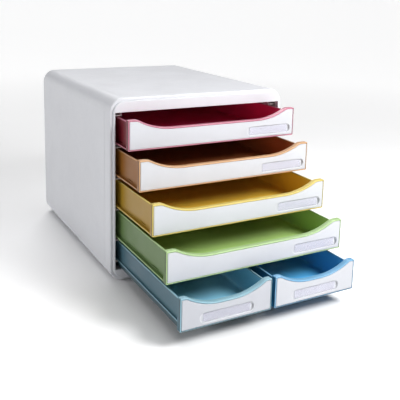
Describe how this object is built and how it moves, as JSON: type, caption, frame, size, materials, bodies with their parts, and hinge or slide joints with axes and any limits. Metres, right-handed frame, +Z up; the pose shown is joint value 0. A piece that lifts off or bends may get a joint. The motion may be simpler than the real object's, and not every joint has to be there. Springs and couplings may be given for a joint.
{
  "type": "plastic drawer tower",
  "caption": "Desktop drawer set: light casing with rounded long edges, full-width coloured drawers above a pair of half-width ones, scooped fronts and label windows.",
  "frame": {"origin": "on the desk plane under the middle of the casing", "axes": "+X to the right seen from the front, +Y to the back, +Z up; the drawers slide out along -Y"},
  "size_m": [0.288, 0.5454, 0.271],
  "materials": {
    "casing_white": "fine satin, light cool grey white",
    "lining_white": "matt moulded plastic",
    "foot_rubber": "matt",
    "tray_crimson": "satin gloss",
    "tray_orange": "satin gloss",
    "tray_yellow": "satin gloss",
    "tray_green": "satin gloss",
    "tray_light_blue": "satin gloss",
    "tray_blue": "satin gloss",
    "plate_white": "satin white",
    "card": "blank paper card",
    "clear_cover": "clear plastic cover"
  },
  "bodies": {
    "casing": {"top_cover": "casing_white", "base_shell": "casing_white", "side_panel_left": "casing_white", "side_panel_right": "casing_white", "back_panel": "lining_white", "runner_panel_left": "lining_white", "runner_panel_right": "lining_white", "centre_divider": "lining_white", "foot_middle": "foot_rubber", "foot_front_left": "foot_rubber", "foot_front_right": "foot_rubber", "foot_back_left": "foot_rubber", "foot_back_right": "foot_rubber"},
    "drawer_1": {"tray_1": "tray_crimson", "front_plate_1": "plate_white", "label_card_1": "card", "label_window_1": "clear_cover"},
    "drawer_2": {"tray_2": "tray_orange", "front_plate_2": "plate_white", "label_card_2": "card", "label_window_2": "clear_cover"},
    "drawer_3": {"tray_3": "tray_yellow", "front_plate_3": "plate_white", "label_card_3": "card", "label_window_3": "clear_cover"},
    "drawer_4": {"tray_4": "tray_green", "front_plate_4": "plate_white", "label_card_4": "card", "label_window_4": "clear_cover"},
    "drawer_5_left": {"tray_5_left": "tray_light_blue", "front_plate_5_left": "plate_white", "label_card_5_left": "card", "label_window_5_left": "clear_cover"},
    "drawer_5_right": {"tray_5_right": "tray_blue", "front_plate_5_right": "plate_white", "label_card_5_right": "card", "label_window_5_right": "clear_cover"}
  },
  "joints": [
    {"name": "slide_1", "type": "slide", "parent": "casing", "child": "drawer_1", "axis": [0, -1, 0], "range_m": [-0.0438, 0.2062]},
    {"name": "slide_2", "type": "slide", "parent": "casing", "child": "drawer_2", "axis": [0, -1, 0], "range_m": [-0.0807, 0.1693]},
    {"name": "slide_3", "type": "slide", "parent": "casing", "child": "drawer_3", "axis": [0, -1, 0], "range_m": [-0.123, 0.127]},
    {"name": "slide_4", "type": "slide", "parent": "casing", "child": "drawer_4", "axis": [0, -1, 0], "range_m": [-0.1641, 0.0859]},
    {"name": "slide_5_left", "type": "slide", "parent": "casing", "child": "drawer_5_left", "axis": [0, -1, 0], "range_m": [-0.198, 0.052]},
    {"name": "slide_5_right", "type": "slide", "parent": "casing", "child": "drawer_5_right", "axis": [0, -1, 0], "range_m": [-0.198, 0.052]}
  ]
}
